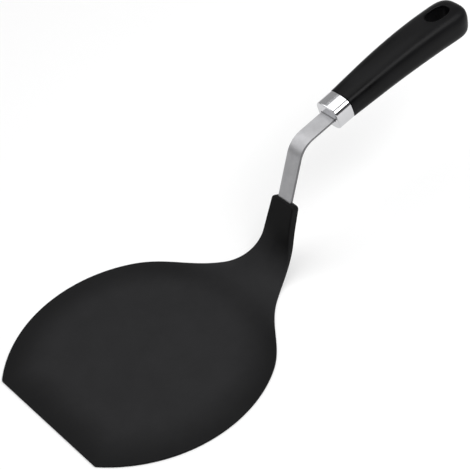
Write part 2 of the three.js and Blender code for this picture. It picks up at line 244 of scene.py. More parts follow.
def mouth_distance(neck):
    return neck.bend_start + neck.bend * neck.rise + neck.socket


def mouth_point(neck):
    point, _ = underside_at(neck, mouth_distance(neck))
    return point + across(neck.rise) * (neck.thickness / 2 + neck.strip_raise)


def crank_point(kit):
    return mouth_point(kit.neck) + along(kit.neck.rise) * kit.strip.lower


def handle_frame(kit):
    """Matrix from the handle's own frame, +X along it from the ferrule's face, to the part's."""
    strip = kit.strip
    face = crank_point(kit) + along(strip.rise) * strip.upper + across(strip.rise) * strip.drop
    return Matrix.Translation(face) @ Matrix.Rotation(-strip.rise, 4, "Y")


def section_point(grip, distance, y, up):
    """A point of a section across the handle, in the handle's own frame."""
    angle = max(distance - grip.arch_start, 0.0) / grip.arch
    x = min(distance, grip.arch_start) + grip.arch * math.sin(angle)
    z = grip.arch * (math.cos(angle) - 1)
    return Vector((x + up * math.sin(angle), y, z + up * math.cos(angle)))


def grip_section(kit, distance, inset):
    """Half width and half height of the grip, drawn in by an inset."""
    grip, ferrule = kit.grip, kit.ferrule
    swell = math.sin(clamp((distance - ferrule.length) / grip.swell) * math.pi / 2)
    tail = clamp((distance + inset - grip.length) / grip.butt + 1)
    width = lerp(ferrule.rear_width, grip.width, swell) / 2 - inset
    height = lerp(ferrule.rear_height, grip.height, swell) / 2 - inset
    return (
        width * (1 - tail**grip.butt_plan) ** (1 / grip.butt_plan),
        height * (1 - tail**grip.butt_side) ** (1 / grip.butt_side),
    )


def oval_reach(half_first, half_second, power, angle):
    """How far a squared oval reaches from its middle at an angle from its first axis."""
    first = abs(math.cos(angle)) / half_first
    second = abs(math.sin(angle)) / half_second
    return (first**power + second**power) ** (-1 / power)


def oval(kit, distance, half_width, half_height, steps):
    """A section across the handle, clockwise from its top."""
    ring = []
    for i in range(steps):
        angle = 2 * math.pi * i / steps
        reach = oval_reach(half_height, half_width, kit.grip.power, angle)
        y, up = reach * math.sin(angle), reach * math.cos(angle)
        ring.append(section_point(kit.grip, distance, y, up))
    return ring


# Meshes


def plain_mesh(thing):
    """The mesh that an object's modifiers make, which then leave it."""
    graph = bpy.context.evaluated_depsgraph_get()
    mesh = bpy.data.meshes.new_from_object(thing.evaluated_get(graph))
    thing.modifiers.clear()
    return mesh


def in_scene(name, data):
    """Makes an object of data and puts it in the scene."""
    made = bpy.data.objects.new(name, data)
    bpy.context.scene.collection.objects.link(made)
    return made


def dress(mesh, name, node):
    """Makes a piece of a mesh, smooth but for its sharp edges, which rides on the tool and
    stands for a CAD node."""
    mesh.name = name
    mesh.shade_smooth()
    mesh.set_sharp_from_angle(angle=SHARP_ANGLE)
    piece = in_scene(name, mesh)
    weighted = piece.modifiers.new("weighted_normals", "WEIGHTED_NORMAL")
    weighted.keep_sharp = True
    piece.data = plain_mesh(piece)
    bpy.data.meshes.remove(mesh)
    piece.data.name = name
    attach(piece, "root")
    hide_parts(node)


def mesh_of(bm, finish, matrix=None):
    """The mesh of a closed bmesh with its material."""
    if matrix:
        bm.transform(matrix)
    bmesh.ops.remove_doubles(bm, verts=bm.verts, dist=WELD)
    bmesh.ops.recalc_face_normals(bm, faces=bm.faces)
    mesh = bpy.data.meshes.new("piece")
    bm.to_mesh(mesh)
    bm.free()
    mesh.materials.append(finish)
    return mesh


def join_rings(bm, first, second):
    """Quads between two rings of vertices, or triangles where they share a vertex."""
    for i in range(len(first)):
        j = (i + 1) % len(first)
        corners = [first[i], first[j], second[j], second[i]]
        distinct = [v for k, v in enumerate(corners) if v not in corners[:k]]
        if len(distinct) > 2:
            bm.faces.new(distinct)


def skin(bm, rings):
    """Quads between rings of points, which stay open at both ends. Gives back the ends."""
    made = [[bm.verts.new(point) for point in ring] for ring in rings]
    for first, second in zip(made, made[1:]):
        join_rings(bm, first, second)
    return made[0], made[-1]


def onto_slot(y, z, strip, gap):
    """Moves a place straight towards the middle, onto the edge of a slot round the strip."""
    reach = max(abs(y) / (strip.width / 2 + gap), abs(z) / (strip.thickness / 2 + gap))
    return y / reach, z / reach


def fan(bm, ring):
    """Closes a ring with a fan round its middle."""
    middle = bm.verts.new(sum((v.co for v in ring), Vector()) / len(ring))
    for i, vert in enumerate(ring):
        bm.faces.new([vert, ring[(i + 1) % len(ring)], middle])


# Materials


# How far most of a noise reaches under and over its middle
NOISE_SPREAD = 0.2


def material(name):
    made = bpy.data.materials.new(name)
    made.use_nodes = True
    tree = made.node_tree
    tree.nodes.clear()
    return made, tree


def node(tree, kind, links=None, sockets=None, **settings):
    """Adds a node: links join its inputs to the outputs of other nodes, sockets are its other
    inputs' values, and settings are its properties."""
    made = tree.nodes.new(kind)
    for key, value in settings.items():
        setattr(made, key, value)
    for key, value in (sockets or {}).items():
        made.inputs[key].default_value = value
    for key, output in (links or {}).items():
        tree.links.new(output, made.inputs[key])
    return made


def rgba(value):
    return (*value, 1.0)


def pattern(tree, place, pitches, detail, roughness=0.5):
    """A noise whose grains are as large as the pitches along the three axes of a place."""
    scale = {"Scale": [1 / pitch for pitch in pitches]}
    scaled = node(tree, "ShaderNodeMapping", {"Vector": place}, sockets=scale)
    grains = {"Scale": 1.0, "Detail": detail, "Roughness": roughness}
    links = {"Vector": scaled.outputs["Vector"]}
    return node(tree, "ShaderNodeTexNoise", links, sockets=grains).outputs["Fac"]


def two_tones(tree, noise, spread, base, depth):
    """A colour that a noise turns darker and lighter by a depth. The noise reaches both tones
    at a spread under and over its middle."""
    first, second, mixed = 6, 7, 2  # the numbers of a Mix node's colour sockets
    reach = {"From Min": 0.5 - spread, "From Max": 0.5 + spread}
    share = node(tree, "ShaderNodeMapRange", {"Value": noise}, sockets=reach)
    tones = {
        first: rgba([c * (1 - depth) for c in base]),
        second: rgba([c * (1 + depth) for c in base]),
    }
    links = {"Factor": share.outputs["Result"]}
    return node(tree, "ShaderNodeMix", links, data_type="RGBA", sockets=tones).outputs[mixed]


def finish_material(tree, sheen, relief=None, links=None, sockets=None):
    """Ends a material in its surface. Sheen is a noise with the roughness where it is low and
    where it is high, and relief a noise with the strength and the depth of its bumps."""
    noise, smooth, rough = sheen
    reach = {"From Min": 0.5 - NOISE_SPREAD, "From Max": 0.5 + NOISE_SPREAD}
    reach.update({"To Min": smooth, "To Max": rough})
    roughness = node(tree, "ShaderNodeMapRange", {"Value": noise}, sockets=reach)
    links = {**(links or {}), "Roughness": roughness.outputs["Result"]}
    if relief:
        noise, strength, depth = relief
        bumps = {"Strength": strength, "Distance": depth}
        bump = node(tree, "ShaderNodeBump", {"Height": noise}, sockets=bumps)
        links["Normal"] = bump.outputs["Normal"]
    shader = node(tree, "ShaderNodeBsdfPrincipled", links, sockets=sockets)
    node(tree, "ShaderNodeOutputMaterial", {"Surface": shader.outputs["BSDF"]})


def moulded_nylon(kit):
    """Black nylon 66 from a spark-eroded mould: a fine even grain, no coat, a soft broad sheen
    that follows the slow shrinkage of the sheet, and painted shade that darkens its rim and
    socket."""
    made, tree = material("moulded_black_nylon_with_painted_shade")
    # The real grain is about 0.1 mm, too fine to show, so it is drawn coarser
    grain_pitch, grain_strength, grain_depth = 0.5 * MM, 0.25, 0.04 * MM
    cloud_pitch, cloud_depth = 22 * MM, 0.1
    # Painted shade: its depth, the width of its band along the edges, where it fades into the
    # neck, and where it grows up the socket
    painted_shade_depth, band, neck_fade = 0.4, 30 * MM, 26 * MM
    socket_fade, socket_full = 6 * MM, 24 * MM
    blade, neck = kit.blade, kit.neck
    place = node(tree, "ShaderNodeTexCoord").outputs["Object"]
    grain = pattern(tree, place, [grain_pitch] * 3, 2.0, 0.6)
    cloud = pattern(tree, place, [cloud_pitch] * 3, 6.0, 0.75)
    tones = two_tones(tree, cloud, NOISE_SPREAD, kit.finishes.nylon, cloud_depth)
    level = node(tree, "ShaderNodeMapping", {"Vector": place}, sockets={"Scale": [1, 1, 0]})
    reach = node(tree, "ShaderNodeVectorMath", {0: level.outputs["Vector"]}, operation="LENGTH")
    axes = node(tree, "ShaderNodeSeparateXYZ", {0: place}).outputs
    # Painted shade in the colour: darker along the round rim and the front edge, but not into the
    # neck, and up the socket
    shade = None
    for output, start, end, operation in (
        (reach.outputs["Value"], blade.radius - band, blade.radius, None),
        (axes["X"], band - blade.setback, -blade.setback, "MAXIMUM"),
        (axes["X"], neck.bend_start, neck.bend_start - neck_fade, "MULTIPLY"),
        (axes["Z"], socket_fade, socket_full, "MAXIMUM"),
    ):
        sockets = {"From Min": start, "From Max": end}
        fade = node(tree, "ShaderNodeMapRange", {"Value": output}, sockets=sockets)
        fade.interpolation_type = "SMOOTHSTEP"
        links = {0: shade, 1: fade.outputs["Result"]}
        if operation:
            fade = node(tree, "ShaderNodeMath", links, operation=operation)
        shade = fade.outputs[0]
    # The painted shade darkens the nylon's colour by up to this depth
    depth = {"To Min": 1.0, "To Max": painted_shade_depth}
    darker = node(tree, "ShaderNodeMapRange", {"Value": shade}, sockets=depth)
    links = {0: tones, "Scale": darker.outputs["Result"]}
    painted_shade_tones = node(tree, "ShaderNodeVectorMath", links, operation="SCALE")
    finish_material(
        tree,
        (grain, 0.38, 0.46),
        (grain, grain_strength, grain_depth),
        {"Base Color": painted_shade_tones.outputs["Vector"]},
        {"IOR": 1.52, "Specular IOR Level": 0.05},
    )
    return made


def brushed_steel(kit):
    """Stainless strip, brushed with a belt across its width: fine streaks that spread a highlight
    along the strip, over a faint waviness from rolling, and painted shade that darkens the sheared
    sides."""
    made, tree = material("brushed_stainless_strip")
    # A belt's real scratches are about 0.05 mm apart, too fine to show, and are drawn coarser
    streak_pitch, streak_run = 0.25 * MM, 14 * MM
    streak_strength, streak_depth = 0.3, 0.015 * MM
    wave_pitch, wave_spread, wave_depth = 9 * MM, 0.15, 0.08
    painted_edge_shade, half_width = 0.45, kit.strip.width / 2
    flow = node(tree, "ShaderNodeAttribute", attribute_name="path").outputs["Vector"]
    place = node(tree, "ShaderNodeTexCoord").outputs["Object"]
    streaks = pattern(tree, flow, (streak_run, streak_pitch, streak_pitch), 3.0, 0.65)
    waves = pattern(tree, place, [wave_pitch] * 3, 4.0, 0.75)
    tones = two_tones(tree, waves, wave_spread, kit.finishes.steel, wave_depth)
    # Painted shade: the colour darkens across the rounding of the strip's sheared sides
    axes = node(tree, "ShaderNodeSeparateXYZ", {0: flow})
    aside = node(tree, "ShaderNodeMath", {0: axes.outputs["Y"]}, operation="ABSOLUTE")
    sockets = {"From Min": half_width - kit.strip.edge, "From Max": half_width}
    sockets.update({"To Min": 1.0, "To Max": painted_edge_shade})
    sheared = node(tree, "ShaderNodeMapRange", {"Value": aside.outputs[0]}, sockets=sockets)
    links = {0: tones, "Scale": sheared.outputs["Result"]}
    shaded = node(tree, "ShaderNodeVectorMath", links, operation="SCALE")
    finish_material(
        tree,
        (streaks, 0.3, 0.42),
        (streaks, streak_strength, streak_depth),
        {"Base Color": shaded.outputs["Vector"]},
        {"Metallic": 1.0},
    )
    return made


def polished_steel(kit):
    """Drawn stainless cup, polished on a wheel: sharp reflections with a trace of the draw
    lines round it."""
    made, tree = material("polished_drawn_stainless")
    line_pitch, line_run = 0.6 * MM, 7.5 * MM
    line_strength, line_depth = 0.03, 0.01 * MM
    place = node(tree, "ShaderNodeTexCoord").outputs["Object"]
    lines = pattern(tree, place, (line_pitch, line_run, line_run), 2.0)
    finish_material(
        tree,
        (lines, 0.05, 0.1),
        (lines, line_strength, line_depth),
        sockets={"Base Color": rgba(kit.finishes.polished), "Metallic": 1.0},
    )
    return made


def soft_rubber(kit):
    """Thermoplastic rubber moulded over the core: black, matte to satin, with a fine grain
    and slightly shinier patches where the skin lay on the mould."""
    made, tree = material("moulded_soft_rubber")
    # The real grain is about 0.1 mm, too fine to show, so it is drawn coarser
    grain_pitch, grain_strength, grain_depth = 0.45 * MM, 0.2, 0.03 * MM
    patch_run, patch_pitch, patch_depth = 27 * MM, 16 * MM, 0.4
    place = node(tree, "ShaderNodeTexCoord").outputs["Object"]
    grain = pattern(tree, place, [grain_pitch] * 3, 2.0, 0.6)
    patches = pattern(tree, place, (patch_run, patch_pitch, patch_pitch), 1.0)
    tones = two_tones(tree, patches, NOISE_SPREAD, kit.finishes.rubber, patch_depth)
    finish_material(
        tree,
        (patches, 0.26, 0.44),
        (grain, grain_strength, grain_depth),
        {"Base Color": tones},
        {"IOR": 1.5, "Specular IOR Level": 0.08},
    )
    return made


def core_plastic(kit):
    """Black polypropylene: the smooth, slightly waxy wall inside the hanging hole."""
    made, tree = material("moulded_black_polypropylene")
    ripple_pitch = 3 * MM
    place = node(tree, "ShaderNodeTexCoord").outputs["Object"]
    ripple = pattern(tree, place, [ripple_pitch] * 3, 2.0)
    dark = rgba(kit.finishes.core)
    sockets = {"Base Color": dark, "IOR": 1.49, "Specular IOR Level": 0.1}
    finish_material(tree, (ripple, 0.35, 0.45), sockets=sockets)
    return made


# Blade and neck


# Points on the outline's front corner, flank, round, shoulder, straight side and mouth corner
OUTLINE_STEPS = (14, 32, 60, 60, 8, 10)


def arc_points(centre, radius, start, end, steps):
    angles = [lerp(start, end, i / steps) for i in range(steps + 1)]
    return [(centre[0] + radius * math.cos(a), centre[1] + radius * math.sin(a)) for a in angles]


def half_outline(blade, neck):
    """Half of the outline laid out flat, as points of distance along and half width."""
    direction = Vector((math.cos(blade.flank), math.sin(blade.flank)))
    flank = direction * (blade.radius - blade.flank_radius)
    corner_x = blade.corner - blade.setback
    climb = math.sqrt((blade.flank_radius - blade.corner) ** 2 - (corner_x - flank.x) ** 2)
    corner_angle = math.atan2(climb, corner_x - flank.x)
    mouth = mouth_distance(neck)
    start = Vector((math.cos(blade.shoulder), math.sin(blade.shoulder))) * blade.radius
    base = Vector((mouth - neck.straight, neck.base_width / 2))
    end = Vector((mouth - neck.corner, neck.mouth_width / 2))
    side = (end - base).normalized()
    leave = Vector((math.sin(blade.shoulder), -math.cos(blade.shoulder)))
    handles = [start, start + leave * blade.shoulder_reach, base - side * blade.neck_reach, base]
    corner_steps, flank_steps, round_steps, shoulder_steps, side_steps, mouth_steps = OUTLINE_STEPS
    shoulder = []
    for i in range(shoulder_steps + 1):
        t = i / shoulder_steps
        weights = [(1 - t) ** 3, 3 * (1 - t) ** 2 * t, 3 * (1 - t) * t * t, t**3]
        shoulder.append(tuple(sum((h * w for h, w in zip(handles, weights)), Vector((0, 0)))))
    parts = [
        arc_points((corner_x, flank.y + climb), blade.corner, math.pi, corner_angle, corner_steps),
        arc_points(flank, blade.flank_radius, corner_angle, blade.flank, flank_steps),
        arc_points((0, 0), blade.radius, blade.flank, blade.shoulder, round_steps),
        shoulder,
        [tuple(base.lerp(end, i / side_steps)) for i in range(side_steps + 1)],
        arc_points((end.x, end.y - neck.corner), neck.corner, math.pi / 2, 0, mouth_steps),
    ]
    outline = [parts[0][0]]
    for part in parts:
        outline += part[1:]
    return outline


def inset_of(points, outline, front):
    """How far points of the laid-out sheet lie inside the outline."""
    points = np.array(points)
    points[:, 1] = abs(points[:, 1])
    least = points[:, 0] - front
    ends = np.array(outline)
    for first, second in zip(ends, ends[1:]):
        step = second - first
        share = np.clip(((points - first) @ step) / (step @ step), 0, 1)
        nearest = first + share[:, None] * step
        least = np.minimum(least, np.linalg.norm(points - nearest, axis=1))
    return np.maximum(least, 0)


def sheet_thickness(blade, neck, distance, inset):
    bend_end = neck.bend_start + neck.bend * neck.rise
    growth = clamp((distance - neck.thickening) / (bend_end - neck.thickening))
    full = lerp(blade.thickness, neck.thickness, growth)
    rim = lerp(blade.rim, full, eased((distance - neck.squaring) / neck.squaring_run))
    outside = 1 - np.clip(inset / blade.bevel, 0, 1)
    return full + (rim - full) * outside**2


def drawn_in(depth, rounding):
    """How far a rounded edge is drawn in at a depth behind it."""
    return rounding * (1 - math.sqrt(1 - clamp(1 - depth / rounding) ** 2))


def blade_rings(kit):
    """Sections across blade and neck, from the front edge to the socket's mouth."""
    blade, neck = kit.blade, kit.neck
    outline = half_outline(blade, neck)
    front, mouth = -blade.setback, mouth_distance(neck)
    across_steps, edge_steps = 56, 5
    most_edge = 0.49  # share of the sheet's height that one rounding may take
    shares = [math.sin((2 * i / across_steps - 1) * math.pi / 2) for i in range(across_steps + 1)]
    turns = quarter_turn(edge_steps)[1:]
    rings = []
    for distance, half_width in outline:
        growth = eased((distance - neck.squaring) / neck.squaring_run)
        point, angle = underside_at(neck, distance)
        at_front = drawn_in(distance - front, blade.edge)
        high = max(at_front, drawn_in(mouth - distance, neck.edge))
        low = max(at_front, drawn_in(mouth - distance, neck.rear_edge))
        edge = lerp(blade.edge, neck.edge, growth)
        flat = max(half_width - edge, 0.0)
        spots = [(distance, share * flat) for share in shares]
        heights = sheet_thickness(blade, neck, distance, inset_of(spots, outline, front)) - high
        edge = min(edge, (heights[-1] - low) * most_edge)
        side = [(flat + edge * math.sin(a), heights[-1] - edge * (1 - math.cos(a))) for a in turns]
        side += [(flat + edge * math.cos(a), low + edge * (1 - math.sin(a))) for a in turns]
        ring = [(y, height) for (_, y), height in zip(spots, heights)] + side
        ring += [(-share * flat, low) for share in shares[1:-1]]
        ring += [(-y, z) for y, z in reversed(side)]
        rings.append([point + across(angle) * z + Vector((0, y, 0)) for y, z in ring])
    return rings


def close_mouth(bm, ring, kit):
    """The mouth's face with the pocket that the strip comes out of."""
    neck = kit.neck
    centre, rise = mouth_point(neck), across(neck.rise)
    opening = []
    for vert in ring:
        offset = vert.co - centre
        y, z = onto_slot(offset.y, offset.dot(rise), kit.strip, neck.clearance)
        opening.append(bm.verts.new(centre + rise * z + Vector((0, y, 0))))
    floor = [bm.verts.new(v.co - along(neck.rise) * neck.pocket) for v in opening]
    join_rings(bm, ring, opening)
    join_rings(bm, opening, floor)
    fan(bm, floor)


class SPATULA_OT_blade(Operator):
    """Makes the nylon blade, its neck and its socket as one moulding with rounded edges"""

    bl_idname = "spatula.blade"
    bl_label = "Blade"

    def execute(self, context):
        kit = context.scene.spatula
        bm = bmesh.new()
        front, mouth = skin(bm, blade_rings(kit))
        fan(bm, front)
        close_mouth(bm, mouth, kit)
        dress(mesh_of(bm, moulded_nylon(kit)), "blade_moulding", "blade")
        return {"FINISHED"}


# Strip


def strip_path(kit):
    """A curve along the strip's middle line, from inside the socket to inside the ferrule."""
    strip, neck = kit.strip, kit.neck
    bend_steps, short_of_floor = 24, 0.05 * MM
    corner = crank_point(kit)
    foot = corner - along(neck.rise) * strip.bend * math.tan((neck.rise - strip.rise) / 2)
    centre = foot - across(neck.rise) * strip.bend
    angles = [lerp(neck.rise, strip.rise, i / bend_steps) for i in range(bend_steps + 1)]
    places = [mouth_point(neck) - along(neck.rise) * (neck.pocket - short_of_floor)]
    places += [centre + across(angle) * strip.bend for angle in angles]
    places.append(corner + along(strip.rise) * (strip.upper + kit.ferrule.length))
    curve = bpy.data.curves.new("strip_path", "CURVE")
    curve.dimensions = "3D"
    line = curve.splines.new("POLY")
    line.points.add(len(places) - 1)
    for point, place in zip(line.points, places):
        point.co = (*place, 1.0)
    return curve


def strip_tree():
    """Geometry nodes that draw a flat bar with rounded edges along a curve. Each point keeps
    its place along and across the bar, for the brushed pattern."""
    tree = bpy.data.node_groups.new("bar_along_path", "GeometryNodeTree")
    for name, kind in (
        ("Path", "NodeSocketGeometry"),
        ("Width", "NodeSocketFloat"),
        ("Thickness", "NodeSocketFloat"),
        ("Edge rounding", "NodeSocketFloat"),
        ("Rounding steps", "NodeSocketInt"),
        ("Finish", "NodeSocketMaterial"),
    ):
        tree.interface.new_socket(name, in_out="INPUT", socket_type=kind)
    tree.interface.new_socket("Bar", in_out="OUTPUT", socket_type="NodeSocketGeometry")
    given = node(tree, "NodeGroupInput").outputs
    upright = node(tree, "GeometryNodeSetCurveNormal", {"Curve": given["Path"]}, mode="Z_UP")
    run = tree.nodes.new("GeometryNodeCaptureAttribute")
    run.capture_items.new("FLOAT", "Run")
    tree.links.new(upright.outputs["Curve"], run.inputs["Geometry"])
    tree.links.new(node(tree, "GeometryNodeSplineParameter").outputs["Length"], run.inputs["Run"])
    sides = {"Width": given["Width"], "Height": given["Thickness"]}
    flat = node(tree, "GeometryNodeCurvePrimitiveQuadrilateral", sides)
    edges = {"Radius": given["Edge rounding"], "Count": given["Rounding steps"]}
    edges["Curve"] = flat.outputs["Curve"]
    rounded = node(tree, "GeometryNodeFilletCurve", edges, mode="POLY")
    section = tree.nodes.new("GeometryNodeCaptureAttribute")
    section.capture_items.new("VECTOR", "Place")
    tree.links.new(rounded.outputs["Curve"], section.inputs["Geometry"])
    tree.links.new(node(tree, "GeometryNodeInputPosition").outputs[0], section.inputs["Place"])
    curves = {"Curve": run.outputs["Geometry"], "Profile Curve": section.outputs["Geometry"]}
    bar = node(tree, "GeometryNodeCurveToMesh", curves, sockets={"Fill Caps": True})
    sides = node(tree, "ShaderNodeSeparateXYZ", {0: section.outputs["Place"]}).outputs
    axes = {"X": run.outputs["Run"], "Y": sides["X"], "Z": sides["Y"]}
    place = node(tree, "ShaderNodeCombineXYZ", axes)
    stored = node(
        tree,
        "GeometryNodeStoreNamedAttribute",
        {"Geometry": bar.outputs["Mesh"], "Value": place.outputs["Vector"]},
        data_type="FLOAT_VECTOR",
        domain="POINT",
        sockets={"Name": "path"},
    )
    real = node(tree, "GeometryNodeRealizeInstances", {"Geometry": stored.outputs["Geometry"]})
    links = {"Geometry": real.outputs["Geometry"], "Material": given["Finish"]}
    finished = node(tree, "GeometryNodeSetMaterial", links)
    node(tree, "NodeGroupOutput", {"Bar": finished.outputs["Geometry"]})
    return tree


class SPATULA_OT_strip(Operator):
    """Makes the cranked steel strip"""

    bl_idname = "spatula.strip"
    bl_label = "Strip"

    def execute(self, context):
        kit = context.scene.spatula
        edge_steps = 4
        values = {
            "Width": kit.strip.width,
            "Thickness": kit.strip.thickness,
            "Edge rounding": kit.strip.edge,
            "Rounding steps": edge_steps,
            "Finish": brushed_steel(kit),
        }
        curve = strip_path(kit)
        path = in_scene("strip_path", curve)
        modifier = path.modifiers.new("bar", "NODES")
        modifier.node_group = strip_tree()
        for socket in modifier.node_group.interface.items_tree:
            if socket.name in values:
                modifier[socket.identifier] = values[socket.name]
        mesh = plain_mesh(path)
        bpy.data.objects.remove(path)
        bpy.data.curves.remove(curve)
        dress(mesh, "steel_strip", "shank")
        return {"FINISHED"}


# Ferrule


class SPATULA_OT_ferrule(Operator):
    """Makes the polished ferrule, a drawn cup with a slot round the strip"""

    bl_idname = "spatula.ferrule"
    bl_label = "Ferrule"

    def execute(self, context):
        kit = context.scene.spatula
        ferrule, strip = kit.ferrule, kit.strip
        steps, edge_steps, lip_steps = 160, 8, 3
        # Shares of the wall: the rounded rim at the grip, and the least inner rounding
        lip_share, least_inner = 0.4, 0.3

        def ring(distance, inset):
            share = distance / ferrule.length
            width = lerp(ferrule.front_width, ferrule.rear_width, share) / 2 - inset
            height = lerp(ferrule.front_height, ferrule.rear_height, share) / 2 - inset
            return oval(kit, distance, width, height, steps)

        def rounded(radius, start, base_inset):
            return [
                ring(start + radius * (1 - math.cos(a)), base_inset + radius * (1 - math.sin(a)))
                for a in quarter_turn(edge_steps)
            ]

        lip = ferrule.wall * lip_share
        outside = rounded(ferrule.edge, 0.0, 0.0) + [ring(ferrule.length - lip, 0.0)]
        rim = [
            ring(ferrule.length - lip * (1 - math.sin(a)), lip * (1 - math.cos(a)))
            for a in quarter_turn(lip_steps)[1:]
        ]
        inner_edge = max(ferrule.edge - ferrule.wall, ferrule.wall * least_inner)
        inside = rounded(inner_edge, ferrule.wall, ferrule.wall)
        bm = bmesh.new()
        rings = outside + rim + [ring(ferrule.length, ferrule.wall)] + inside[::-1]
        front, back = skin(bm, rings)
        slot_rings = []
        for side, x in ((front, 0.0), (back, ferrule.wall)):
            verts = []
            for vert in side:
                y, z = onto_slot(vert.co.y, vert.co.z + strip.drop, strip, ferrule.slot)
                verts.append(bm.verts.new((x, y, z - strip.drop)))
            join_rings(bm, side, verts)
            slot_rings.append(verts)
        join_rings(bm, *slot_rings)
        mesh = mesh_of(bm, polished_steel(kit), handle_frame(kit))
        dress(mesh, "ferrule_cup", "ferrule")
        return {"FINISHED"}


# Grip


def sleeve_halves(kit, distance, inset):
    """Half width and half height of the sleeve's outer skin, whose front edge is rounded, or
    of its inner skin."""
    grip = kit.grip
    depth = distance - kit.ferrule.length - grip.gap
    edge = 0.0 if inset else drawn_in(depth, grip.front_edge)
    width, height = grip_section(kit, distance, inset)
    return width - edge, height - edge


def sleeve_side(kit, distance, inset, angle):
    """Place across and height of a skin at an angle from its top."""
    width, height = sleeve_halves(kit, distance, inset)
    reach = oval_reach(height, width, kit.grip.power, angle)
    return reach * math.sin(angle), reach * math.cos(angle)


def sleeve_height(kit, distance, inset, y):
    """Height of a skin over the handle's middle line at a place across."""
    width, height = sleeve_halves(kit, distance, inset)
    power = kit.grip.power
    return height * (1 - min(abs(y) / width, 1.0) ** power) ** (1 / power)


def sleeve_places(kit, inset):
    """Distances of a skin's rings, and the numbers of the first and last ring that the
    hanging hole lies between."""
    grip = kit.grip
    patch_margin = 3.6 * MM
    edge_steps, run_steps, patch_steps, butt_steps = 4, 30, 24, 20
    start = kit.ferrule.length + grip.gap
    edge = 0.0 if inset else grip.front_edge
    hole = grip.length - grip.hole_place
    reach = grip.hole_length / 2 + patch_margin
    turns = quarter_turn(edge_steps)[:-1] if edge else []
    places = [start + edge * (1 - math.cos(a)) for a in turns]
    places += [lerp(start + edge, hole - reach, i / run_steps) for i in range(run_steps)]
    first = len(places)
    places += [hole + reach * (2 * i / patch_steps - 1) for i in range(patch_steps + 1)]
    last = len(places) - 1
    left = [1 - i / butt_steps for i in range(1, butt_steps)]
    places += [lerp(grip.length - inset, hole + reach, share**3) for share in left]
    return places, first, last


def patch_border(first, last, half_rows):
    """Ring and row numbers round the patch that holds a hole."""
    rows = list(range(-half_rows, half_rows + 1))
    border = [(first, k) for k in rows] + [(i, half_rows) for i in range(first + 1, last)]
    border += [(last, k) for k in reversed(rows)]
    return border + [(i, -half_rows) for i in range(last - 1, first, -1)]


def grip_shell(bm, kit, inset):
    """One skin of the sleeve, outer or inner, with a way through it at the hanging hole.
    Gives back its front ring and the edges of the two holes."""
    grip = kit.grip
    rows, half_rows, lip_steps, spread_steps = 96, 10, 6, 8
    places, first, last = sleeve_places(kit, inset)
    hole = grip.length - grip.hole_place
    lip = 0.0 if inset else grip.lip
    made = {}

    def vert(i, j):
        key = (i, j % rows)
        if key not in made:
            spot = sleeve_side(kit, places[i], inset, 2 * math.pi * j / rows)
            made[key] = bm.verts.new(section_point(grip, places[i], *spot))
        return made[key]

    for i in range(len(places) - 1):
        for j in range(rows):
            in_patch = (j + half_rows) % (rows // 2) < 2 * half_rows
            if not (first <= i < last and in_patch):
                bm.faces.new([vert(i, j), vert(i, j + 1), vert(i + 1, j + 1), vert(i + 1, j)])
    fan(bm, [vert(len(places) - 1, j) for j in range(rows)])

    holes = []
    for side in (1, -1):
        turned = 0 if side > 0 else rows // 2
        border = [(i, j + turned) for i, j in patch_border(first, last, half_rows)]
        spots = []
        for i, j in border:
            y = sleeve_side(kit, places[i], inset, 2 * math.pi * j / rows)[0]
            spots.append((places[i] - hole, y))

        def outline(margin):
            half_length = grip.hole_length / 2 + margin
            half_width = grip.hole_width / 2 + margin
            ring = []
            for u, y in spots:
                turned_by = math.atan2(y, u)
                reach = oval_reach(half_length, half_width, grip.hole_power, turned_by)
                ring.append((reach * math.cos(turned_by), reach * math.sin(turned_by)))
            return ring

        def ring_on_skin(spots_of_ring, sunk=0.0):
            ring = []
            for u, y in spots_of_ring:
                up = side * sleeve_height(kit, hole + u, inset, y)
                ring.append(bm.verts.new(section_point(grip, hole + u, y, up) + sunk_by * sunk))
            return ring

        sunk_by = section_point(grip, hole, 0, 0) - section_point(grip, hole, 0, side * lip)
        rings = [[vert(i, j) for i, j in border]]
        for step in range(1, spread_steps + 1):
            share = step / spread_steps
            pairs = zip(spots, outline(lip))
            between = [(lerp(u, v, share), lerp(y, w, share)) for (u, y), (v, w) in pairs]
            rings.append(ring_on_skin(between))
        if lip:
            for angle in quarter_turn(lip_steps)[1:]:
                ring = outline(lip * (1 - math.sin(angle)))
                rings.append(ring_on_skin(ring, 1 - math.cos(angle)))
        for one, other in zip(rings, rings[1:]):
            join_rings(bm, one, other)
        holes.append(rings[-1])
    return [vert(0, j) for j in range(rows)], holes


class SPATULA_OT_grip(Operator):
    """Makes the soft sleeve of the handle, whose two skins meet in front and in the hole"""

    bl_idname = "spatula.grip"
    bl_label = "Grip"

    def execute(self, context):
        kit = context.scene.spatula
        bm = bmesh.new()
        front, holes = grip_shell(bm, kit, 0.0)
        inner_front, inner_holes = grip_shell(bm, kit, kit.grip.wall)
        join_rings(bm, front, inner_front)
        for outer, inner in zip(holes, inner_holes):
            join_rings(bm, outer, inner)
        mesh = mesh_of(bm, soft_rubber(kit), handle_frame(kit))
        dress(mesh, "soft_grip", "grip_sleeve")
        return {"FINISHED"}


class SPATULA_OT_core(Operator):
    """Gives the core's halves, which show inside the hanging hole, their plastic"""

    bl_idname = "spatula.core"
    bl_label = "Core"

    def execute(self, context):
        plastic = core_plastic(context.scene.spatula)
        for name in ("core_upper", "core_lower"):
            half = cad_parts[name]
            half.data.materials.clear()
            half.data.materials.append(plastic)
        return {"FINISHED"}


# Stage


STAGE_MIDDLE = Vector((0.09, 0, 0))

# Name, heading and height in degrees, distance and sides in metres, and power in watts
LAMPS = (
    ("overhead", -66, 54, 1.2, (1.4, 0.56), 13),
    ("rear", 78, 71, 1.3, (1.1, 1.0), 6.3),
    ("left", 130, 40, 1.3, (0.8, 0.6), 1.9),
)


